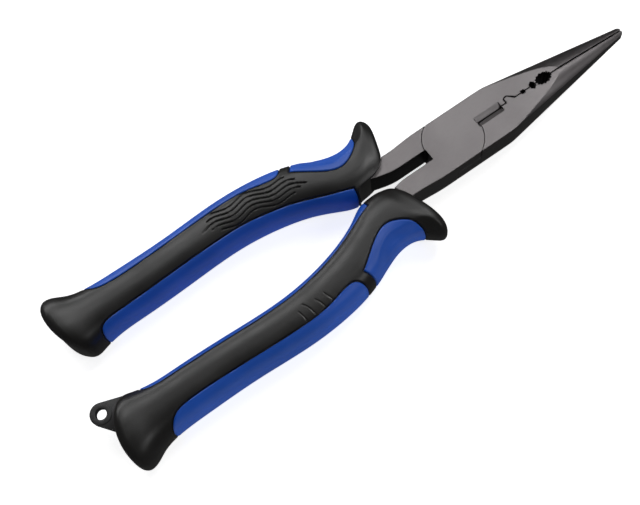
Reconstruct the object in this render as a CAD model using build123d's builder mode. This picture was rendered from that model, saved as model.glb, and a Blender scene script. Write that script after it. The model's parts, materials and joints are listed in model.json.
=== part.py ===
from build123d import *
import math
import os

# Long-nose fishing pliers, lying flat with the jaws closed.
# Lengths are in millimetres. In plan, x and y are measured from the pivot axis: +x runs to the
# jaw tip and +y to the left of someone who looks along the jaws from above.
# Two equal steel halves cross in a lap joint, so each one is the other turned over about the x axis.
# The half with the left jaw carries the right handle, and its boss is the upper layer of the joint.

# ---- driving dimensions -------------------------------------------------------------------------
steel_thickness = 10.0        # over both flat faces of the joint
tip_x = 70.5                  # pivot axis to jaw tip
eye_x = -142.3                # pivot axis to the lanyard eye
eye_y = -9.3
eye_ring_radius = 3.7
eye_hole_radius = 1.85
grip_rest_height = 10.155      # mid-plane of the pliers above the table that they lie on

# ---- lap joint ----------------------------------------------------------------------------------
head_half_width = 9.2
tip_half_width = 1.5
shoulder_x = 17.6             # the jaws start to taper here
shoulder_front_x = 19.6       # the corner at the shoulder is blended between these two points
shoulder_rear_x = 13.6
shoulder_drop = 0.25          # from the full width to the front end of that blend
boss_radius = 10.2
boss_clearance = 0.15         # between a boss and the shoulders that it turns against
lap_gap = 0.1                 # between the two bosses
slot_front_x = -9.65          # open slot between the arms, behind the joint
slot_half_width = 2.1
rivet_radius = 3.0
rivet_head_radius = 4.6
rivet_head_depth = 2.0
rivet_clearance = 0.05        # running fit in the half that turns on the rivet

# ---- jaws ---------------------------------------------------------------------------------------
jaw_gap = 0.34                # seam between the closed jaws
tip_rounding = 0.3            # the tip rounds over this length at the seam
cone_side_factor = 1.27       # width of the crowned jaw cone over the width of the side walls
cone_flat_end_x = 43.0        # the crown drops below the flat faces in front of this point
cone_slope = 0.13             # fall of the crown for each millimetre towards the tip
cutter_rear_x = 9.6
cutter_front_x = 19.6
cutter_half_width = 1.9
cutter_depth = 1.3
hook_x = 21.8                 # rear wall of the hook that keys the two jaws
hook_length = 3.1
hook_height = 1.9
hook_crest_share = 0.35       # where the hook is highest, as a share of its length
# crimping holes on the seam: centre x, half length, half height, teeth, depth of the teeth as a share
small_hole = (28.5, 1.0, 1.0, 4, 0.35)
middle_hole = (32.5, 1.2, 1.5, 6, 0.2)
large_hole = (36.9, 3.2, 2.1, 13, 0.17)
teeth_rear_x = 43.0           # cross teeth on the gripping faces
teeth_front_x = 67.0
tooth_pitch = 1.0
tooth_depth = 0.15

# ---- handles ------------------------------------------------------------------------------------
arm_end_x = -33.0             # the arm ends here, inside the grip
arm_root_half_thickness = 4.0
arm_turn = 0.4                # the arm's edges run out this much for each millimetre back at its end
arm_inner_edge = [(-20, slot_half_width), (-26.5, 3.1), (arm_end_x, 5.3)]
arm_outer_edge = [(arm_end_x, 11.4), (-26, 9.0), (-18, 8.6), (-8, head_half_width)]
grip_clearance = 0.15         # between the step of the arm and the front face of the grip
tang_end_x = -118.0
tang_half_thickness = 3.0
tang_outline = [
    (arm_end_x + 1, 5.6), (-50, 11.5), (-65, 15.5), (-80, 16.8), (tang_end_x, 16.6),
    (tang_end_x, 22.6), (-80, 23.2), (-65, 22.2), (-50, 18.4), (arm_end_x + 1, 10.4),
]
pad_thickness = 2.0
core_inset = 4.0              # soft cover thickness over the hard core
core_half_thickness = 4.9
core_front_x = -34.0
core_rear_x = -134.0
section_rounding = 0.39       # corner radius of a grip section over its smaller side
tab_thickness = 2.6
tab_root_x = -130.0
tab_outline = [
    (tab_root_x, -9.5), (tab_root_x, -18.5), (-139.0, -19.5), (-145.4, -11.2), (-142.3, -5.6), (-134.0, -8.2),
]

half_thickness = steel_thickness / 2
taper = (head_half_width - tip_half_width) / (tip_x - shoulder_x)

# Sections of a grip, from the guard to the flared end. Each one is an upright plane from a point on the
# inner edge (x, y) to a point on the outer edge (x, y), with the half height of the grip there.
grip_stations = [
    (-26.3, 3.0, -18.9, 21.8, 7.0),
    (-27.6, 2.0, -19.9, 24.0, 7.6),
    (-29.2, 1.5, -22.0, 24.6, 8.0),
    (-31.5, 1.3, -25.3, 22.2, 8.3),
    (-34.5, 1.2, -29.4, 20.0, 8.4),
    (-38.5, 1.6, -35.5, 19.9, 8.4),
    (-43.0, 3.5, -42.0, 22.2, 8.4),
    (-50.0, 6.8, -50.0, 25.3, 8.4),
    (-62.0, 10.2, -62.0, 27.8, 8.4),
    (-75.0, 11.9, -75.0, 28.6, 8.4),
    (-95.0, 11.6, -95.0, 27.8, 8.4),
    (-115.0, 11.0, -115.0, 27.8, 8.4),
    (-125.0, 10.6, -126.5, 28.4, 8.7),
    (-130.5, 9.5, -132.5, 30.1, 9.3),
    (-134.0, 9.0, -137.0, 32.2, 9.9),
    (-136.8, 10.4, -140.6, 32.2, 9.7),
]
# The front and the rear face of a grip, seen from above: curved upright faces, listed from the inner side
# to the outer side. The sections run past them by end_overrun before they are trimmed. The left grip's
# front face is cut back on the inner side.
end_overrun = 3.0
horn_front_edge = [(-21.0, 12.0), (-19.7, 16.5), (-19.2, 20.5), (-20.2, 27.0)]
grip_front_edges = {
    1: [(-33.8, -1.5), (-32.6, 1.4), (-28.4, 5.6), (-24.6, 7.0), (-22.6, 8.9), *horn_front_edge],
    -1: [(-28.0, -3.0), (-26.0, 2.0), (-22.6, 8.9), *horn_front_edge],
}
grip_rear_edge = [
    (-133.6, 4.0), (-137.0, 9.6), (-139.9, 13.8), (-141.7, 18.5), (-142.4, 24.0), (-142.0, 29.5), (-139.4, 36.0),
]

# The row's x origin is half way between the jaw tip and the end of the lanyard tab.
rear_x = eye_x - eye_ring_radius
pivot_x = -(tip_x + rear_x) / 2


def level(height):
    """Horizontal plane through the pivot axis, at a height above the mid-plane."""
    return Plane(origin=(pivot_x, 0, grip_rest_height + height))


def cross_plane(x, y, run=0.0, rise=1.0):
    """Upright plane across the pliers: its local x runs along (run, rise) and its local y along +z."""
    return Plane(origin=(pivot_x + x, y, grip_rest_height), x_dir=(run, rise, 0), z_dir=(rise, -run, 0))


def flipped(points, side):
    return [(x, side * y) for x, y in points]


def toothed_hole(centre_x, half_length, half_height, teeth, depth):
    """Outline of a crimping hole on the seam, with small teeth round it."""
    points = []
    for k in range(2 * teeth):
        angle = math.pi * k / teeth
        scale = 1.0 if k % 2 else 1.0 - depth
        x = centre_x + half_length * scale * math.cos(angle)
        points.append((x, half_height * scale * math.sin(angle)))
    Polyline(*points, close=True)


def hook_outline(grow):
    """The hook on the right jaw (grow 0), and the recess for it in the left jaw (grow jaw_gap)."""
    rear = hook_x - grow
    front = hook_x + hook_length + 2 * grow
    top = hook_height - jaw_gap / 2 + grow
    foot = -half_thickness / 2
    crest = hook_x + hook_crest_share * hook_length
    Polyline((crest + 0.3, top), (front, 0), (front, foot), (rear, foot), (rear, 0.55 * top))
    Spline((rear, 0.55 * top), (crest + 0.3, top), tangents=[(0, 1), (1, -0.15)])


def handle_arm(side):
    """Arm from the joint to the grip, which steps down to a thinner root and tang inside the grip."""
    with BuildPart() as body:
        with BuildSketch(level(0)) as arm:
            with BuildLine():
                inner_edge = Spline(*flipped(arm_inner_edge, side), tangents=[(-1, 0), (-1, arm_turn * side)])
                outer_edge = Spline(*flipped(arm_outer_edge, side), tangents=[(1, -arm_turn * side), (1, 0)])
                Line(inner_edge @ 1, outer_edge @ 0)
                Polyline(outer_edge @ 1, (0, side * head_half_width), (0, side * slot_half_width),
                         inner_edge @ 0)
            make_face()
        extrude(amount=arm_root_half_thickness, both=True)
        # full thickness in front of the grip's front face
        with BuildSketch(level(0)):
            add(arm.sketch_local)
            with BuildLine():
                front_edge = grip_front_edges[side]
                inner_end, *_, outer_end = front_edge
                behind = [(2 * arm_end_x, outer_end[1]), (2 * arm_end_x, inner_end[1])]
                step = Spline(*flipped([(x + grip_clearance, y) for x, y in front_edge], side))
                Polyline(step @ 1, *flipped(behind, side), step @ 0)
            make_face(mode=Mode.SUBTRACT)
        extrude(amount=half_thickness, both=True)
        with BuildSketch(level(0)):
            with BuildLine():
                Polyline(*flipped(tang_outline, side), close=True)
            make_face()
        extrude(amount=tang_half_thickness, both=True)
    return body


def steel_half(side):
    """One forged half: jaw on the +y side when side is 1, handle arm and tang on the other side."""
    half = half_thickness
    seam = jaw_gap / 2
    with BuildPart() as body:
        # jaw, cut to a crowned cone that is flat on top only near the joint
        with BuildSketch(level(0)):
            with BuildLine():
                tip_side = (tip_x - tip_half_width, tip_half_width + seam)
                tip_seam = (tip_x - tip_rounding, seam)
                blend_front = (shoulder_front_x, head_half_width - shoulder_drop)
                blend_rear = (shoulder_rear_x, head_half_width)
                Polyline(*flipped([tip_side, blend_front], side))
                Spline(*flipped([blend_front, blend_rear], side), tangents=[(-1, side * taper), (-1, 0)])
                Polyline(*flipped([blend_rear, (0, head_half_width), (0, seam), tip_seam], side))
                Spline(*flipped([tip_seam, tip_side], side), tangents=[(0.3, side), (-1, side * taper)])
            make_face()
        extrude(amount=half, both=True)
        for x in (0.0, tip_x + 1.0):
            side_radius = cone_side_factor * (tip_half_width + taper * (tip_x - x))
            crown = half + cone_slope * (cone_flat_end_x - x)
            with BuildSketch(cross_plane(x, 0)):
                Ellipse(side_radius, crown)
        loft(mode=Mode.INTERSECT)

        add(handle_arm(-side).part)

        # this half's boss, and room for the other half's boss
        with BuildSketch(level(side * lap_gap / 2)):
            Circle(boss_radius)
            Rectangle(4 * boss_radius, 2 * head_half_width, mode=Mode.INTERSECT)
        extrude(amount=side * (half - lap_gap / 2))
        with BuildSketch(level(side * lap_gap / 2)):
            Circle(boss_radius + boss_clearance)
        extrude(amount=-side * (half + 1), mode=Mode.SUBTRACT)

        # slot behind the joint
        with BuildSketch(level(0)):
            with Locations((slot_front_x - 5, 0)):
                Rectangle(10, 2 * slot_half_width)
        extrude(amount=half + 1, both=True, mode=Mode.SUBTRACT)

        # shallow cutter grooves in both faces, in front of the joint
        for face in (1, -1):
            with BuildSketch(cross_plane(cutter_rear_x, 0)):
                with BuildLine():
                    Polyline((-cutter_half_width, face * half), (0, face * (half - cutter_depth)),
                             (cutter_half_width, face * half), (0, face * (half + 1)), close=True)
                make_face()
            extrude(amount=cutter_front_x - cutter_rear_x, mode=Mode.SUBTRACT)

        # hook on the right jaw, recess in the left jaw
        with BuildSketch(level(0)):
            with BuildLine():
                hook_outline(jaw_gap if side == 1 else 0)
            make_face()
            if side == -1:
                with Locations((hook_x, 0)):
                    Rectangle(4 * hook_length, 2 * hook_height + 2, mode=Mode.INTERSECT)
        extrude(amount=half, both=True, mode=Mode.SUBTRACT if side == 1 else Mode.ADD)

        # crimping holes on the seam, and cross teeth nearer the tip
        with BuildSketch(level(0)):
            with BuildLine():
                toothed_hole(*small_hole)
            make_face()
            with BuildLine():
                toothed_hole(*middle_hole)
            make_face()
            with BuildLine():
                toothed_hole(*large_hole)
            make_face()
            with BuildLine():
                teeth = int((teeth_front_x - teeth_rear_x) / tooth_pitch)
                zigzag = [(teeth_rear_x, 0)]
                for k in range(teeth):
                    zigzag.append((teeth_rear_x + (k + 0.5) * tooth_pitch, side * (seam + tooth_depth)))
                    zigzag.append((teeth_rear_x + (k + 1) * tooth_pitch, side * seam * 0.9))
                zigzag.append((teeth_front_x, 0))
                Polyline(*zigzag, close=True)
            make_face()
        extrude(amount=half + 1, both=True, mode=Mode.SUBTRACT)

        # rivet hole with a countersink in the outer face
        clearance = 0 if side == 1 else rivet_clearance
        with BuildSketch(level(0)):
            Circle(rivet_radius + clearance)
        extrude(amount=half + 1, both=True, mode=Mode.SUBTRACT)
        with BuildSketch(level(side * (half - rivet_head_depth))):
            Circle(rivet_radius + clearance)
        with BuildSketch(level(side * half)):
            Circle(rivet_head_radius + clearance)
        loft(mode=Mode.SUBTRACT)
    return body


def grip_loft(side, inset, mode=Mode.ADD):
    """Body of a grip, or the same body a little smaller, made inside the part that is being built."""
    sections = []
    for number, (inner_x, inner_y, outer_x, outer_y, half_height) in enumerate(grip_stations):
        run, rise = outer_x - inner_x, side * (outer_y - inner_y)
        length = math.hypot(run, rise)
        shift = 0
        if number == 0:
            shift = end_overrun - inset
        if number == len(grip_stations) - 1:
            shift = inset - end_overrun
        # along the grip's own direction at this section
        centre_x = (inner_x + outer_x) / 2 + shift * abs(rise) / length
        centre_y = side * (inner_y + outer_y) / 2 - shift * side * run / length
        width = length - 2 * inset
        height = 2 * (half_height - inset)
        with BuildSketch(cross_plane(centre_x, centre_y, run / length, rise / length)) as section:
            RectangleRounded(width, height, section_rounding * min(width, height))
        sections.append(section.sketch)
    loft(sections=sections, mode=mode)


def pad_outlines():
    """Plan regions of the three coloured inlays of a grip, as closed lists of points."""
    return {
        "thumb_pad": [
            (-47.4, 32), (-48.4, 24.5), (-50.2, 21.0), (-45.5, 17.6), (-40.0, 13.6), (-35.5, 12.3),
            (-31.0, 13.8), (-27.6, 16.8), (-26.4, 20.5), (-27.5, 32),
        ],
        "outer_strip": [
            (-51.8, 36), (-52.3, 25.0), (-54.2, 22.3), (-59.0, 22.5), (-65.0, 23.8), (-75.0, 24.6),
            (-100.0, 23.7), (-118.0, 23.6), (-123.5, 25.2), (-128.5, 30.5), (-131.0, 36),
        ],
        "inner_strip": [
            (-129.0, -4), (-128.4, 10.6), (-126.2, 13.0), (-118.0, 13.9), (-100.0, 14.5), (-75.0, 14.9),
            (-65.0, 13.6), (-55.0, 11.2), (-44.0, 6.9), (-38.6, 4.6), (-36.6, 2.8), (-36.4, -4),
        ],
    }


def inlay_outline(points, side):
    """Closed outline of an inlay: a smooth edge on the black cover, and straight sides off the grip."""
    edge = flipped(points[1:-1], side)
    Spline(*edge)
    Polyline(edge[-1], *flipped([points[-1], points[0]], side), edge[0])


def inlay(points, side):
    """A soft inlay: the skin of the grip over one plan region, wrapped round its side."""
    with BuildPart() as body:
        with BuildSketch(level(0)):
            with BuildLine():
                inlay_outline(points, side)
            make_face()
        extrude(amount=2 * grip_rest_height, both=True)
        grip_loft(side, 0, Mode.INTERSECT)
        grip_loft(side, pad_thickness, Mode.SUBTRACT)
    return body


def grip_core(side, inserts):
    """Hard sleeve moulded on the tang, inside the soft cover."""
    stations = [station for station in grip_stations if core_rear_x <= station[0] <= core_front_x]
    inner_edge = [(station[0], station[1] + core_inset) for station in stations]
    outer_edge = [(station[2], station[3] - core_inset) for station in reversed(stations)]
    with BuildPart() as body:
        with BuildSketch(level(0)):
            with BuildLine():
                Polyline(*flipped(inner_edge + outer_edge, side), close=True)
            make_face()
        extrude(amount=core_half_thickness, both=True)
        for insert in inserts:
            add(insert.part, mode=Mode.SUBTRACT)
    return body


def grip_cover(side, inner_parts):
    """Soft black cover, with a shallow window for each inlay and the core and the arm inside it."""
    with BuildPart() as body:
        grip_loft(side, 0)
        with BuildSketch(level(0)):
            with BuildLine():
                front = Spline(*flipped(grip_front_edges[side], side))
                rear = Spline(*flipped(grip_rear_edge, side))
                Line(front @ 0, rear @ 0)
                Line(front @ 1, rear @ 1)
            make_face()
        extrude(amount=2 * grip_rest_height, both=True, mode=Mode.INTERSECT)
        for inner_part in inner_parts:
            add(inner_part.part, mode=Mode.SUBTRACT)
    return body


pieces = {}

left_jaw_half = steel_half(1)
right_jaw_half = steel_half(-1)
pieces["left_jaw_half"] = left_jaw_half
pieces["right_jaw_half"] = right_jaw_half

with BuildPart() as pivot_rivet:
    with BuildSketch(level(0)):
        Circle(rivet_radius)
    extrude(amount=half_thickness, both=True)
    for face in (1, -1):
        with BuildSketch(level(face * (half_thickness - rivet_head_depth))):
            Circle(rivet_radius)
        with BuildSketch(level(face * half_thickness)):
            Circle(rivet_head_radius)
        loft()
pieces["pivot_rivet"] = pivot_rivet

with BuildPart() as lanyard_tab:
    with BuildSketch(level(0)):
        with BuildLine():
            Polyline(*tab_outline, close=True)
        make_face()
        with Locations((eye_x, eye_y)):
            Circle(eye_ring_radius)
    extrude(amount=tab_thickness / 2, both=True)
    with Locations((pivot_x + eye_x, eye_y, grip_rest_height)):
        Cylinder(eye_hole_radius, 2 * tab_thickness, mode=Mode.SUBTRACT)
pieces["lanyard_tab"] = lanyard_tab

for name, side in (("right", -1), ("left", 1)):
    inserts = [handle_arm(side)]
    if name == "right":
        inserts.append(lanyard_tab)
    core = grip_core(side, inserts)
    pads = {pad: inlay(points, side) for pad, points in pad_outlines().items()}
    pieces[name + "_grip_core"] = core
    pieces[name + "_grip_cover"] = grip_cover(side, [*inserts, core, *pads.values()])
    for pad, piece in pads.items():
        pieces[name + "_" + pad] = piece

os.makedirs("parts", exist_ok=True)
for name, piece in pieces.items():
    piece.part.label = name
    export_step(piece.part, "parts/" + name + ".step")
    print(name, len(piece.part.solids()), round(piece.part.volume), piece.part.is_valid)
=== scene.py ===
"""Long-nose fishing pliers: the looks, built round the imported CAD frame.

Lengths in the grips' shape are millimetres from the pivot axis: +x to the jaw tip, +y outward on the
handle that is being built, z up from the mid-plane. mesh_object() turns them into metres in the row frame.
"""
import json
import math

import bmesh
import bpy
import numpy as np
from mathutils import Matrix, Vector


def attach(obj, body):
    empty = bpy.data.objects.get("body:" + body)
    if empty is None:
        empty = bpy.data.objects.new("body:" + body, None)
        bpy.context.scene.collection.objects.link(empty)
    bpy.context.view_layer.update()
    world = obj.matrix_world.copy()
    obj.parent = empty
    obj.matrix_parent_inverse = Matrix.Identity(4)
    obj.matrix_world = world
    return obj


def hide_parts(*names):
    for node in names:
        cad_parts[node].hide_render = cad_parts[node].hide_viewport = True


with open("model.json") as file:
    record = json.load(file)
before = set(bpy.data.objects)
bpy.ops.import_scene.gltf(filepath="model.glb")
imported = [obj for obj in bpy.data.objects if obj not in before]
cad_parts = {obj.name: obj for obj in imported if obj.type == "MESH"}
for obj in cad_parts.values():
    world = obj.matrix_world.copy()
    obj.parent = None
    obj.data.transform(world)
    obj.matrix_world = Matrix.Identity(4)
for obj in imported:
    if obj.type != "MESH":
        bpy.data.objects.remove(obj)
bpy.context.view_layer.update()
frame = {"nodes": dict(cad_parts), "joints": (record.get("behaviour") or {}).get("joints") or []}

MM = 0.001
pivot = Vector(frame["joints"][0]["pos_m"])

# ---- shape of a grip ----------------------------------------------------------------------------
# Upright sections from the guard to the flared end: a point on the inner edge, a point on the outer
# edge, the half height there, and how far the middle of the section bows towards the jaws.
GRIP_STATIONS = np.array([
    (-25.3, 2.6, -18.7, 21.8, 7.2, 0.5),
    (-26.8, 1.7, -19.9, 24.0, 7.7, 0.5),
    (-28.8, 1.3, -22.0, 24.6, 8.0, 0.5),
    (-31.5, 1.3, -25.5, 22.0, 8.3, 0.4),
    (-34.5, 1.2, -29.4, 19.9, 8.4, 0.2),
    (-38.5, 1.6, -35.5, 19.9, 8.4, 0.0),
    (-43.0, 3.5, -42.0, 22.2, 8.4, 0.0),
    (-50.0, 6.8, -50.0, 25.3, 8.4, 0.0),
    (-62.0, 10.2, -62.0, 27.8, 8.4, 0.0),
    (-75.0, 11.9, -75.0, 28.6, 8.4, 0.0),
    (-95.0, 11.6, -95.0, 27.8, 8.4, 0.0),
    (-115.0, 11.0, -115.0, 27.8, 8.4, 0.0),
    (-125.0, 10.6, -126.5, 28.4, 8.7, 0.0),
    (-130.5, 9.5, -132.5, 30.1, 9.3, -0.4),
    (-134.0, 9.0, -137.0, 32.2, 9.9, -1.3),
    (-136.8, 10.4, -140.6, 32.2, 9.7, -2.4),
])
# The right grip's neck is fuller on its inner side.
RIGHT_STATIONS = GRIP_STATIONS.copy()
RIGHT_STATIONS[1:6, 1] = (1.2, 0.4, 0.0, 0.1, 0.9)
FRONT_ROUNDING = 1.0
REAR_ROUNDING = 2.2
SECTION_POWER = 2.7           # 2 is an ellipse, more is squarer
RING_POINTS = (60, 176)       # points round a section, coarse and fine
ROW_STEPS = ((0, 32, 0.26), (32, 62, 0.2), (62, 98, 0.55), (98, None, 0.3))   # from, to, spacing of the rows
FLAT_LEVEL = 0.62             # above this share of the height the ring's points are closer together
FLAT_DENSITY = 2.6
CAP_DOME = 0.35               # the end caps bulge this much
INLAY_THICKNESS = 2.0
INLAY_GAP = 0.12
TOOL_HALF_HEIGHT = 15         # the upright blocks that cut the grips reach past them
INLAY_GROOVE = (0.50, 0.21)   # depth and half width of the groove round an inlay
ENGRAVED = (0.45, 0.19)       # the same for the engraved waves
STROKE = (0.14, 0.17)         # and for the short strokes
GROOVE_SHOULDER = 1.9         # a groove fades out at this many half widths
ENGRAVED_ABOVE = 3.5          # engraving is only where the grip is this far from its mid-plane

# Edges of the three inlays on the black cover, seen from above, then two points off the grip.
INLAYS = {
    "thumb_pad": ([[(-47.2, 28.0), (-48.3, 24.5), (-50.4, 20.9)],
                   [(-50.4, 20.9), (-49.4, 20.3), (-45.5, 17.4), (-40.0, 13.6), (-35.5, 12.3),
                    (-31.0, 13.8), (-27.6, 16.8), (-26.4, 20.5), (-27.0, 26.0)]],
                  [(-27.5, 32.0), (-47.0, 32.0)]),
    "outer_strip": ([[(-51.6, 30.0), (-52.1, 25.2), (-54.1, 22.5), (-56.2, 22.0), (-60.0, 22.6),
                      (-65.0, 23.8), (-75.0, 24.6), (-100.0, 23.7), (-118.0, 23.6), (-123.5, 25.2),
                      (-128.5, 30.5)]],
                    [(-131.0, 38.0), (-51.6, 38.0)]),
    "inner_strip": ([[(-128.8, 6.0), (-128.4, 10.6), (-126.2, 13.0), (-118.0, 13.9), (-100.0, 14.5),
                      (-75.0, 14.9), (-65.0, 13.6), (-55.0, 11.2), (-44.0, 6.9), (-36.5, 4.1)],
                     [(-36.5, 4.1), (-36.6, 2.0), (-36.8, 0.0)]],
                    [(-36.4, -6.0), (-128.8, -6.0)]),
}

# The right grip's inner strip reaches less far up.
STRIP_DROP = 0.6
RIGHT_INLAYS = dict(INLAYS)
runs, beyond = INLAYS["inner_strip"]
RIGHT_INLAYS["inner_strip"] = ([[(x, y - STRIP_DROP) for x, y in run] for run in runs], beyond)

TAB_EYE = np.array([-142.3, 9.3])
TAB_RING = 3.7
TAB_HOLE = 1.85
TAB_THICKNESS = 2.6
TAB_RIM = 0.2                 # the rim round the eye stands this much proud of the tab
TAB_RIM_INSET = 0.25
TAB_EDGE = 0.3                # width of the bevelled edges
TAB_ROOT = [(-139.0, 19.6), (-130.0, 18.5), (-130.0, 9.5), (-134.0, 8.2)]

# The left grip's front face is cut back on the inner side: its edge, then points in front of the grip.
LEFT_FRONT = [(-36.2, -2.5), (-36.1, 1.0), (-35.2, 3.2), (-32.2, 3.9), (-28.4, 4.6), (-25.0, 6.1),
              (-22.6, 9.0), (-21.4, 12.0)]
LEFT_FRONT_OFF = [(-15.0, 12.0), (-15.0, -6.0), (-36.2, -6.0)]

# Scoop for the thumb behind the guard, seen from above: the edge of the hollow, then points off the grip.
SCOOP = ([(-48.0, 31.0), (-46.6, 24.5), (-44.6, 20.5), (-40.5, 16.6), (-36.0, 14.8), (-30.5, 15.4),
          (-26.0, 16.2), (-23.2, 17.9), (-21.4, 20.8), (-20.9, 24.0), (-20.9, 31.0)],
         [(-30.0, 36.0), (-40.0, 36.0)])
SCOOP_SHARE = 0.2             # share of the half height that is lost in the hollow
SCOOP_WALL = 3.0              # width of the slope down into it

# Engraved waves along the black band of the left grip, and short strokes on the right one, on both faces.
BAND_MIDDLE = np.array([(-86.0, 19.4), (-75.0, 19.7), (-65.0, 18.8), (-55.0, 16.8), (-46.0, 14.0)])
WAVES = 5
WAVE_SPACING = 1.7
WAVE_HEIGHT = 0.8
WAVE_LENGTH = 14.0
WAVE_ENDS = (-84.0, -48.0)
WAVE_TRIM = 2.5               # each wave further from the middle one ends this much sooner
STROKES = [
    [(-64.6, 19.8), (-64.0, 21.4), (-63.3, 23.2)],
    [(-68.0, 20.0), (-67.2, 21.4), (-66.6, 23.6)],
    [(-72.2, 19.0), (-71.2, 20.6), (-70.4, 23.9)],
    [(-74.4, 20.4), (-74.0, 22.0), (-73.8, 24.2)],
]


def joined(runs):
    """One line made of smooth runs, with a corner where two runs meet."""
    return np.concatenate([through(run) for run in runs])


def through(points, samples=160):
    """Smooth open curve through plan points, as evenly spaced as its knots allow."""
    p = np.array(points, float)
    knots = np.r_[0, np.cumsum(np.linalg.norm(np.diff(p, axis=0), axis=1) ** 0.5)]
    return np.stack([cubic(knots, p[:, k], np.linspace(0, knots[-1], samples)) for k in (0, 1)], axis=1)


def cubic(knots, values, at):
    """Natural cubic spline."""
    n = len(knots)
    h = np.diff(knots)
    a = np.eye(n)
    b = np.zeros(n)
    for i in range(1, n - 1):
        a[i, i - 1:i + 2] = h[i - 1], 2 * (h[i - 1] + h[i]), h[i]
        b[i] = 6 * ((values[i + 1] - values[i]) / h[i] - (values[i] - values[i - 1]) / h[i - 1])
    m = np.linalg.solve(a, b)
    i = np.clip(np.searchsorted(knots, at, "right") - 1, 0, n - 2)
    t = at - knots[i]
    return (values[i] + t * ((values[i + 1] - values[i]) / h[i] - h[i] * (2 * m[i] + m[i + 1]) / 6)
            + t ** 2 * m[i] / 2 + t ** 3 * (m[i + 1] - m[i]) / (6 * h[i]))


def wavy_lines():
    """Evenly spaced waves, the middle one longest."""
    lines = []
    for k in range(WAVES):
        step = k - (WAVES - 1) / 2
        trim = WAVE_TRIM * abs(step)
        x = np.linspace(WAVE_ENDS[0] + trim, WAVE_ENDS[1] - trim, 30)
        middle = cubic(BAND_MIDDLE[:, 0], BAND_MIDDLE[:, 1], x)
        wave = WAVE_HEIGHT * np.sin(2 * math.pi * x / WAVE_LENGTH)
        lines.append(np.c_[x, middle + WAVE_SPACING * step + wave])
    return lines


def distance(points, line):
    """Distance in plan from each point to a polyline."""
    best = np.full(len(points), 1e9)
    for a, b in zip(line[:-1], line[1:]):
        d = b - a
        t = np.clip((points - a) @ d / max(d @ d, 1e-12), 0, 1)
        best = np.minimum(best, np.linalg.norm(points - a - t[:, None] * d, axis=1))
    return best


def inside(points, polygon):
    """True for the points inside a closed polygon in plan."""
    result = np.zeros(len(points), bool)
    x, y = points[:, 0], points[:, 1]
    for (x0, y0), (x1, y1) in zip(polygon, np.roll(polygon, -1, axis=0)):
        if y0 == y1:
            continue
        result ^= ((y0 > y) != (y1 > y)) & (x < (x1 - x0) * (y - y0) / (y1 - y0) + x0)
    return result


def offset_inward(polygon, gap):
    """The polygon moved inward by gap, for a polygon with no sharp spikes."""
    ahead = np.roll(polygon, -1, axis=0) - np.roll(polygon, 1, axis=0)
    normal = np.stack([-ahead[:, 1], ahead[:, 0]], axis=1) / np.linalg.norm(ahead, axis=1)[:, None]
    moved = polygon + gap * normal
    middle = len(polygon) // 3
    if not inside(moved[middle:middle + 1], polygon)[0]:
        moved = polygon - gap * normal
    return moved


def section_ring(count):
    """Unit cross-section: across from -1 (inner) to 1 (outer), and up, with close points above and below."""
    angle = np.linspace(0, 2 * math.pi, 4001)
    across = np.sign(np.cos(angle)) * np.abs(np.cos(angle)) ** (2 / SECTION_POWER)
    up = np.sign(np.sin(angle)) * np.abs(np.sin(angle)) ** (2 / SECTION_POWER)
    step = np.hypot(np.diff(across), np.diff(up))
    weight = np.where(np.abs(up[1:] + up[:-1]) / 2 > FLAT_LEVEL, FLAT_DENSITY, 1.0)
    length = np.r_[0, np.cumsum(step * weight)]
    at = np.linspace(0, length[-1], count, endpoint=False)
    return np.interp(at, length, across), np.interp(at, length, up)


def grip_rows(base, inset, fine):
    """Rows of sections from the guard to the end, and how far each one is drawn in."""
    middle = (base[:, :2] + base[:, 2:4]) / 2
    knots = np.r_[0, np.cumsum(np.linalg.norm(np.diff(middle, axis=0), axis=1))]
    total = knots[-1]
    steps = ROW_STEPS if fine else ((0, None, 1.0),)
    along = np.concatenate([np.arange(a, b or total, step) for a, b, step in steps] + [[total]])
    along = along[(along > FRONT_ROUNDING) & (along < total - REAR_ROUNDING)]
    turns = np.linspace(0, math.pi / 2, 9 if fine else 5)
    rows = [(FRONT_ROUNDING * (1 - math.sin(t)), FRONT_ROUNDING * (1 - math.cos(t))) for t in turns[::-1]]
    rows += [(a, 0.0) for a in along]
    rows += [(total - REAR_ROUNDING * (1 - math.sin(t)), REAR_ROUNDING * (1 - math.cos(t))) for t in turns]
    place = np.clip([r[0] for r in rows], inset, total - inset)
    drawn = np.array([r[1] for r in rows]) + inset
    stations = np.stack([cubic(knots, column, place) for column in base.T], axis=1)
    return stations, drawn


def grip_surface(base, inset=0.0, fine=True):
    """Grid of points of the grip's body, drawn in by inset: rows from the guard to the end, rings round."""
    stations, drawn = grip_rows(base, inset, fine)
    across, up = section_ring(RING_POINTS[fine])
    inner, outer = stations[:, :2], stations[:, 2:4]
    width = np.linalg.norm(outer - inner, axis=1)
    share = ((width - 2 * drawn) / width)[:, None]
    height = (stations[:, 4] - drawn)[:, None]
    s = (1 + across[None, :] * share) / 2
    plan = inner[:, None, :] + s[:, :, None] * (outer - inner)[:, None, :]
    ahead = np.stack([outer[:, 1] - inner[:, 1], inner[:, 0] - outer[:, 0]], axis=1) / width[:, None]
    plan += (4 * s * (1 - s) * stations[:, 5, None])[:, :, None] * ahead[:, None, :]
    flat = plan.reshape(-1, 2)
    edge, off = through(SCOOP[0]), SCOOP[1]
    hollow = smooth(distance(flat, edge) / SCOOP_WALL) * inside(flat, np.concatenate([edge, off]))
    height = height * (1 - SCOOP_SHARE * hollow.reshape(plan.shape[:2]))
    return np.dstack([plan, height * up[None, :]])


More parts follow.
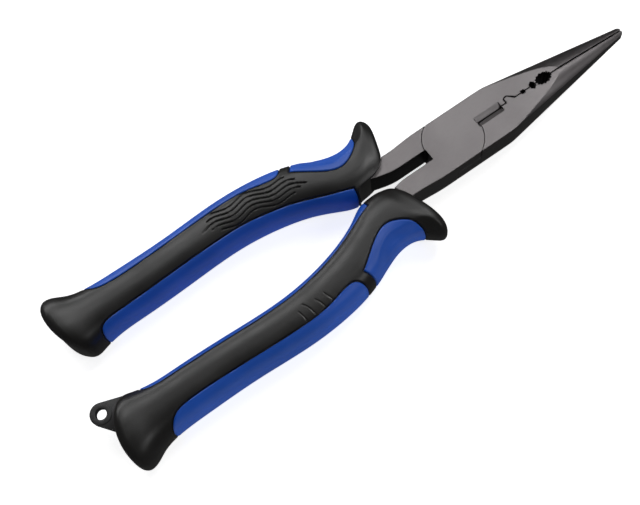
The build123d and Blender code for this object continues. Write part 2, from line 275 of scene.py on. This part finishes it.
def grid_normals(points):
    """Outward normals of a grid that closes round its second direction."""
    along = np.gradient(points, axis=0)
    around = np.roll(points, -1, axis=1) - np.roll(points, 1, axis=1)
    normal = np.cross(along, around)
    size = np.linalg.norm(normal, axis=2, keepdims=True)
    return normal / np.maximum(size, 1e-9)


def smooth(share):
    """Eases from 0 to 1."""
    t = np.clip(share, 0, 1)
    return t * t * (3 - 2 * t)


def valley(distances, depth, half_width):
    """Depth of a round-shouldered groove at each distance from its line."""
    return depth * (1 - smooth(distances / (GROOVE_SHOULDER * half_width)))


def carve(points, inlays, lines, groove):
    """Grooves round the inlays, and engraved lines in the upper and lower face."""
    normal = grid_normals(points)
    flat = points.reshape(-1, 3)
    plan = flat[:, :2]
    sink = np.zeros(len(flat))
    for edge, _ in inlays.values():
        d = distance(plan, joined(edge))
        sink = np.maximum(sink, valley(d, *INLAY_GROOVE))
    on_faces = np.abs(flat[:, 2]) > ENGRAVED_ABOVE
    for line in lines:
        d = distance(plan, through(line, 60))
        sink = np.maximum(sink, np.where(on_faces, valley(d, *groove), 0))
    return (flat - normal.reshape(-1, 3) * sink[:, None]).reshape(points.shape)


def grid_mesh(points):
    """Vertices and faces of a closed body from a grid, with domed caps at both ends."""
    rows, ring, _ = points.shape
    vertices = [points.reshape(-1, 3)]
    faces = []
    index = np.arange(rows * ring).reshape(rows, ring)
    a, b = index[:-1], index[1:]
    quads = np.stack([a, np.roll(a, -1, axis=1), np.roll(b, -1, axis=1), b], axis=-1).reshape(-1, 4)
    faces += quads.tolist()
    count = rows * ring
    for row, flip in ((0, False), (rows - 1, True)):
        edge = points[row]
        centre = edge.mean(axis=0)
        away = centre - points[row + (1 if row == 0 else -1)].mean(axis=0)
        away /= max(np.linalg.norm(away), 1e-9)
        last = index[row]
        for share in (0.75, 0.5, 0.25):
            bulge = CAP_DOME * (1 - share ** 2)
            vertices.append(centre + (edge - centre) * share + away * bulge)
            here = np.arange(count, count + ring)
            count += ring
            quads = np.stack([last, np.roll(last, -1), np.roll(here, -1), here], axis=-1)
            faces += (quads[:, ::-1] if not flip else quads).tolist()
            last = here
        vertices.append((centre + away * CAP_DOME)[None])
        ends = np.stack([last, np.roll(last, -1), np.full(ring, count)], axis=-1)
        faces += (ends[:, ::-1] if not flip else ends).tolist()
        count += 1
    return np.concatenate(vertices), faces


def prism(polygon, half_height):
    """Upright block over a closed plan polygon."""
    n = len(polygon)
    top = np.c_[polygon, np.full(n, half_height)]
    bottom = np.c_[polygon, np.full(n, -half_height)]
    faces = [list(range(n)), list(range(2 * n - 1, n - 1, -1))]
    faces += [[i, i + n, (i + 1) % n + n, (i + 1) % n] for i in range(n)]
    return np.concatenate([top, bottom]), faces


def mesh_object(name, shape, side):
    """An object from vertices in millimetres round the pivot, mirrored for the right handle."""
    vertices, faces = shape
    placed = vertices * (1, side, 1) * MM + np.array(pivot)
    mesh = bpy.data.meshes.new(name)
    mesh.from_pydata(placed.tolist(), [], faces)
    mesh.validate()
    made = bpy.data.objects.new(name, mesh)
    bpy.context.scene.collection.objects.link(made)
    outward(made)
    return made


def outward(made):
    """Turns all faces outward."""
    work = bmesh.new()
    work.from_mesh(made.data)
    bmesh.ops.recalc_face_normals(work, faces=work.faces)
    if work.calc_volume(signed=True) < 0:
        bmesh.ops.reverse_faces(work, faces=work.faces)
    work.to_mesh(made.data)
    work.free()


def cut(made, tool, operation):
    """Applies a boolean to made."""
    modifier = made.modifiers.new("cut", "BOOLEAN")
    modifier.operation = operation
    modifier.solver = "MANIFOLD"
    modifier.object = tool
    bpy.context.view_layer.update()
    changed = bpy.data.meshes.new_from_object(made.evaluated_get(bpy.context.evaluated_depsgraph_get()))
    made.modifiers.clear()
    made.data = changed
    return made


def copy_of(made, name):
    """A separate copy with its own mesh."""
    twin = made.copy()
    twin.data = made.data.copy()
    twin.name = name
    bpy.context.scene.collection.objects.link(twin)
    return twin


def remove(*objects):
    for o in objects:
        bpy.data.objects.remove(o)


def finish_surface(made, material, angle=35):
    """One material, and smooth shading except at edges sharper than angle."""
    made.data.materials.clear()
    made.data.materials.append(material)
    for polygon in made.data.polygons:
        polygon.use_smooth = True
    made.data.set_sharp_from_angle(angle=math.radians(angle))


# ---- materials ----------------------------------------------------------------------------------
# Sizes in metres, since they are used in material nodes.
EDGE_RADIUS = 0.0005
RIVET_ZONE = 0.0055           # no softened edges this close to the pivot
# Painted shade: near black colour painted on the upright steel walls close to the seam, in the holes, hook
# and slot.
RECESS_HALF_WIDTH = 0.0055
SEAM_HALF_WIDTH = 0.0004      # the gripping faces themselves get no painted shade
RECESS_FRONT = 0.041          # in front of the pivot
RECESS_STEEPNESS = 0.3        # upright walls have a normal with less rise than this
PAINTED_RECESS_SHADE_COLOR = (0.012, 0.011, 0.011, 1)


def new_material(name, color, roughness, metallic=0.0):
    material = bpy.data.materials.new(name)
    material.use_nodes = True
    shader = material.node_tree.nodes["Principled BSDF"]
    shader.inputs["Base Color"].default_value = (*color, 1)
    shader.inputs["Roughness"].default_value = roughness
    shader.inputs["Metallic"].default_value = metallic
    return material, material.node_tree, shader


def noise(tree, scale, detail, stretch=(1, 1, 1)):
    """Noise in the object's own coordinates."""
    place = tree.nodes.new("ShaderNodeTexCoord")
    mapping = tree.nodes.new("ShaderNodeMapping")
    mapping.inputs["Scale"].default_value = stretch
    texture = tree.nodes.new("ShaderNodeTexNoise")
    texture.inputs["Scale"].default_value = scale
    texture.inputs["Detail"].default_value = detail
    tree.links.new(place.outputs["Object"], mapping.inputs["Vector"])
    tree.links.new(mapping.outputs["Vector"], texture.inputs["Vector"])
    return texture.outputs["Fac"]


def ranged(tree, value, low, high):
    """Noise stretched to the range from low to high."""
    node = tree.nodes.new("ShaderNodeMapRange")
    node.inputs["From Min"].default_value = 0.3
    node.inputs["From Max"].default_value = 0.7
    node.inputs["To Min"].default_value = low
    node.inputs["To Max"].default_value = high
    tree.links.new(value, node.inputs["Value"])
    return node.outputs["Result"]


def bump(tree, shader, height, strength, size):
    node = tree.nodes.new("ShaderNodeBump")
    node.inputs["Strength"].default_value = strength
    node.inputs["Distance"].default_value = size
    tree.links.new(height, node.inputs["Height"])
    tree.links.new(node.outputs["Normal"], shader.inputs["Normal"])


def mixed_color(tree, shader, value, dark, light):
    """Base colour that goes from dark to light with value."""
    ramp = tree.nodes.new("ShaderNodeValToRGB")
    ramp.color_ramp.elements[0].position = 0.35
    ramp.color_ramp.elements[0].color = (*dark, 1)
    ramp.color_ramp.elements[1].position = 0.65
    ramp.color_ramp.elements[1].color = (*light, 1)
    tree.links.new(value, ramp.inputs["Fac"])
    tree.links.new(ramp.outputs["Color"], shader.inputs["Base Color"])


def moulded(name, dark, light, roughness, grain):
    """Satin moulded plastic or soft rubber: fine grain, slightly uneven gloss and colour."""
    material, tree, shader = new_material(name, light, roughness)
    mixed_color(tree, shader, noise(tree, 60, 3), dark, light)
    gloss = ranged(tree, noise(tree, 140, 3), roughness - 0.04, roughness + 0.05)
    tree.links.new(gloss, shader.inputs["Roughness"])
    bump(tree, shader, noise(tree, 5200, 2), grain, 0.00004)
    return material


def math_node(tree, operation, first, second=None):
    """One Math node: first and second are sockets, or second is a number."""
    node = tree.nodes.new("ShaderNodeMath")
    node.operation = operation
    tree.links.new(first, node.inputs[0])
    if isinstance(second, float):
        node.inputs[1].default_value = second
    elif second is not None:
        tree.links.new(second, node.inputs[1])
    return node.outputs[0]


def separated(tree, vector):
    node = tree.nodes.new("ShaderNodeSeparateXYZ")
    tree.links.new(vector, node.inputs[0])
    return node.outputs


def soften_edges(tree):
    """Slightly rounded edges, except round the flush rivet."""
    edges = tree.nodes.new("ShaderNodeBevel")
    edges.samples = 6
    edges.inputs["Radius"].default_value = EDGE_RADIUS
    place = separated(tree, tree.nodes.new("ShaderNodeTexCoord").outputs["Object"])
    x = math_node(tree, "SUBTRACT", place["X"], pivot.x)
    squares = math_node(tree, "ADD", math_node(tree, "MULTIPLY", x, x),
                        math_node(tree, "MULTIPLY", place["Y"], place["Y"]))
    outside = math_node(tree, "GREATER_THAN", squares, RIVET_ZONE ** 2)
    geometry = tree.nodes.new("ShaderNodeNewGeometry")
    blend = tree.nodes.new("ShaderNodeMix")
    blend.data_type = "VECTOR"
    tree.links.new(outside, blend.inputs["Factor"])
    tree.links.new(geometry.outputs["Normal"], blend.inputs[4])
    tree.links.new(edges.outputs["Normal"], blend.inputs[5])
    tree.links.new(blend.outputs[1], tree.nodes["Bump"].inputs["Normal"])


def paint_recess_shade(tree, shader):
    """Painted shade: near black colour on the upright walls close to the seam, so that the holes, hook and
    slot look shaded.
    """
    place = separated(tree, tree.nodes.new("ShaderNodeTexCoord").outputs["Object"])
    normal = separated(tree, tree.nodes.new("ShaderNodeNewGeometry").outputs["True Normal"])
    sideways = math_node(tree, "ABSOLUTE", place["Y"])
    steepness = math_node(tree, "ABSOLUTE", normal["Z"])
    tests = (
        math_node(tree, "LESS_THAN", sideways, RECESS_HALF_WIDTH),
        math_node(tree, "GREATER_THAN", sideways, SEAM_HALF_WIDTH),
        math_node(tree, "LESS_THAN", place["X"], pivot.x + RECESS_FRONT),
        math_node(tree, "LESS_THAN", steepness, RECESS_STEEPNESS),
    )
    painted_shade_mask = tests[0]
    for test in tests[1:]:
        painted_shade_mask = math_node(tree, "MULTIPLY", painted_shade_mask, test)
    painted_shade_mix = tree.nodes.new("ShaderNodeMix")
    painted_shade_mix.data_type = "RGBA"
    tree.links.new(painted_shade_mask, painted_shade_mix.inputs["Factor"])
    tree.links.new(shader.inputs["Base Color"].links[0].from_socket, painted_shade_mix.inputs[6])
    painted_shade_mix.inputs[7].default_value = PAINTED_RECESS_SHADE_COLOR
    tree.links.new(painted_shade_mix.outputs[2], shader.inputs["Base Color"])


def plated_steel(name):
    """Satin black-nickel plate over ground steel, with a fine grain."""
    material, tree, shader = new_material(name, (0.2, 0.19, 0.19), 0.34, 1.0)
    mixed_color(tree, shader, noise(tree, 45, 4), (0.150, 0.141, 0.143), (0.180, 0.170, 0.172))
    grain = noise(tree, 1400, 6, (0.5, 1.0, 1.0))
    tree.links.new(ranged(tree, grain, 0.32, 0.44), shader.inputs["Roughness"])
    bump(tree, shader, grain, 0.2, 0.00003)
    soften_edges(tree)
    # near black painted shade on the upright walls of the holes, hook and slot
    paint_recess_shade(tree, shader)
    return material


steel = plated_steel("plated_steel")
soft_black = moulded("soft_black", (0.009, 0.0086, 0.0083), (0.013, 0.0125, 0.012), 0.36, 0.35)
hard_black = moulded("hard_black", (0.02, 0.02, 0.021), (0.03, 0.03, 0.031), 0.5, 0.5)
blue = moulded("blue", (0.008, 0.085, 0.48), (0.012, 0.10, 0.56), 0.40, 0.3)

# ---- steel parts keep their CAD shape -----------------------------------------------------------
for node in ("left_jaw_half", "right_jaw_half", "pivot_rivet"):
    frame["nodes"][node].data.materials.clear()
    frame["nodes"][node].data.materials.append(steel)
for node in ("left_grip_core", "right_grip_core", "lanyard_tab"):
    frame["nodes"][node].data.materials.clear()
    frame["nodes"][node].data.materials.append(hard_black)


# ---- grips --------------------------------------------------------------------------------------
def build_grip(name, side, body, base, inlays, lines, groove, front_cut):
    """The black cover and the three blue inlays of one handle."""
    carved = carve(grip_surface(base), inlays, lines, groove)
    envelope = mesh_object(name + "_envelope", grid_mesh(carved), side)
    if front_cut is not None:
        corner = mesh_object(name + "_front_cut", prism(front_cut, TOOL_HALF_HEIGHT), side)
        cut(envelope, corner, "DIFFERENCE")
        remove(corner)
    inner = mesh_object(name + "_inner", grid_mesh(grip_surface(base, INLAY_THICKNESS, fine=False)), side)
    cover = copy_of(envelope, name + "_cover")
    for inlay, (edge, off) in inlays.items():
        polygon = np.concatenate([joined(edge), off])
        window = mesh_object(name + "_window", prism(polygon, TOOL_HALF_HEIGHT), side)
        cut(window, inner, "DIFFERENCE")
        cut(cover, window, "DIFFERENCE")
        outline = offset_inward(polygon, INLAY_GAP)
        pad = mesh_object(name + "_" + inlay + "_soft", prism(outline, TOOL_HALF_HEIGHT), side)
        cut(pad, inner, "DIFFERENCE")
        cut(pad, envelope, "INTERSECT")
        finish_surface(pad, blue)
        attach(pad, body)
        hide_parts(name + "_" + inlay)
        remove(window)
    finish_surface(cover, soft_black)
    cover.name = name + "_cover_soft"
    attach(cover, body)
    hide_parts(name + "_grip_cover")
    remove(envelope, inner)


left_front = np.concatenate([through(LEFT_FRONT), LEFT_FRONT_OFF])
build_grip("left", 1, "right_jaw", GRIP_STATIONS, INLAYS, wavy_lines(), ENGRAVED, left_front)
build_grip("right", -1, "root", RIGHT_STATIONS, RIGHT_INLAYS, STROKES, STROKE, None)


def build_tab():
    """Lanyard tab: a flat triangle with a round eye, soft edges and a low rim round the eye."""
    turn = np.radians(np.arange(288, 141, -7.5))
    ring = TAB_EYE + TAB_RING * np.stack([np.cos(turn), np.sin(turn)], axis=1)
    outline = np.concatenate([ring, TAB_ROOT])
    circle = np.radians(np.arange(0, 360, 7.5))
    round_points = np.stack([np.cos(circle), np.sin(circle)], axis=1)
    tab = mesh_object("lanyard_tab_moulded", prism(outline, TAB_THICKNESS / 2 - TAB_RIM), -1)
    rim_outline = TAB_EYE + (TAB_RING - TAB_RIM_INSET) * round_points
    rim = mesh_object("tab_rim", prism(rim_outline, TAB_THICKNESS / 2), -1)
    cut(tab, rim, "UNION")
    hole = mesh_object("tab_hole", prism(TAB_EYE + TAB_HOLE * round_points, 2 * TAB_THICKNESS), -1)
    cut(tab, hole, "DIFFERENCE")
    remove(rim, hole)
    bevel = tab.modifiers.new("soft_edges", "BEVEL")
    bevel.width = TAB_EDGE * MM
    bevel.segments = 3
    bevel.limit_method = "ANGLE"
    bevel.angle_limit = math.radians(40)
    bpy.context.view_layer.update()
    tab.data = bpy.data.meshes.new_from_object(tab.evaluated_get(bpy.context.evaluated_depsgraph_get()))
    tab.modifiers.clear()
    finish_surface(tab, hard_black)
    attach(tab, "root")
    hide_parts("lanyard_tab")


build_tab()


# ---- floor, light and camera --------------------------------------------------------------------
def stage_floor():
    """Pale floor that glows a little, so that the object has almost no shadow."""
    bpy.ops.mesh.primitive_plane_add(size=6, location=(0, 0, 0))
    floor = bpy.context.object
    floor.name = "floor"
    material, tree, shader = new_material("pale_floor", (0.8, 0.8, 0.8), 0.9)
    shader.inputs["Specular IOR Level"].default_value = 0.0
    shader.inputs["Emission Color"].default_value = (1, 1, 1, 1)
    shader.inputs["Emission Strength"].default_value = 0.82
    floor.data.materials.append(material)
    floor.visible_glossy = False


def soft_light(name, position, target, size, power):
    """Rectangular lamp at position, turned to target."""
    light = bpy.data.lights.new(name, "AREA")
    light.shape = "RECTANGLE"
    light.size, light.size_y = size
    light.energy = power
    made = bpy.data.objects.new(name, light)
    bpy.context.scene.collection.objects.link(made)
    made.location = Vector(position)
    made.rotation_euler = (Vector(target) - Vector(position)).to_track_quat("-Z", "Y").to_euler()


def photo_camera(target, reach, azimuth, elevation, roll, lens):
    """Camera that looks at target from reach away. Azimuth 0 looks along +y; roll turns it clockwise."""
    az, el, turn = (math.radians(v) for v in (azimuth, elevation, roll))
    back = Vector((-math.sin(az) * math.cos(el), -math.cos(az) * math.cos(el), math.sin(el)))
    level_right = Vector((math.cos(az), -math.sin(az), 0))
    level_up = back.cross(level_right)
    right = level_right * math.cos(turn) - level_up * math.sin(turn)
    up = back.cross(right)
    camera = bpy.data.objects.new("camera", bpy.data.cameras.new("camera"))
    bpy.context.scene.collection.objects.link(camera)
    place = Matrix((right, up, back)).transposed().to_4x4()
    place.translation = Vector(target) + back * reach
    camera.matrix_world = place
    camera.data.lens = lens
    camera.data.clip_start = 0.01
    bpy.context.scene.camera = camera


def studio_world(strength):
    """Even white surroundings."""
    world = bpy.data.worlds.new("studio")
    bpy.context.scene.world = world
    world.use_nodes = True
    background = world.node_tree.nodes["Background"]
    background.inputs["Color"].default_value = (1, 1, 1, 1)
    background.inputs["Strength"].default_value = strength


stage_floor()
bpy.context.scene.view_settings.view_transform = "Standard"
studio_world(0.06)
aim = pivot + Vector((-0.04, 0, 0))
soft_light("key", aim + Vector((0.05, 0.43, 0.62)), aim, (0.45, 0.30), 1.6)
soft_light("overhead", aim + Vector((0.30, 0.25, 0.85)), aim, (1.6, 1.2), 0.5)
soft_light("tip", aim + Vector((0.45, 0.10, 0.75)), aim + Vector((0.12, 0, 0)), (0.22, 0.35), 1.5)
soft_light("rim", aim + Vector((-0.15, 0.70, 0.28)), aim, (0.6, 0.2), 1.6)
soft_light("side", aim + Vector((0.40, -0.50, 0.62)), aim, (0.4, 0.3), 1.0)
photo_camera(pivot + Vector((-56.9, -5.2, 0)) * MM, 354.2 * MM, 21.27, 69.54, 14.0, 61.8)
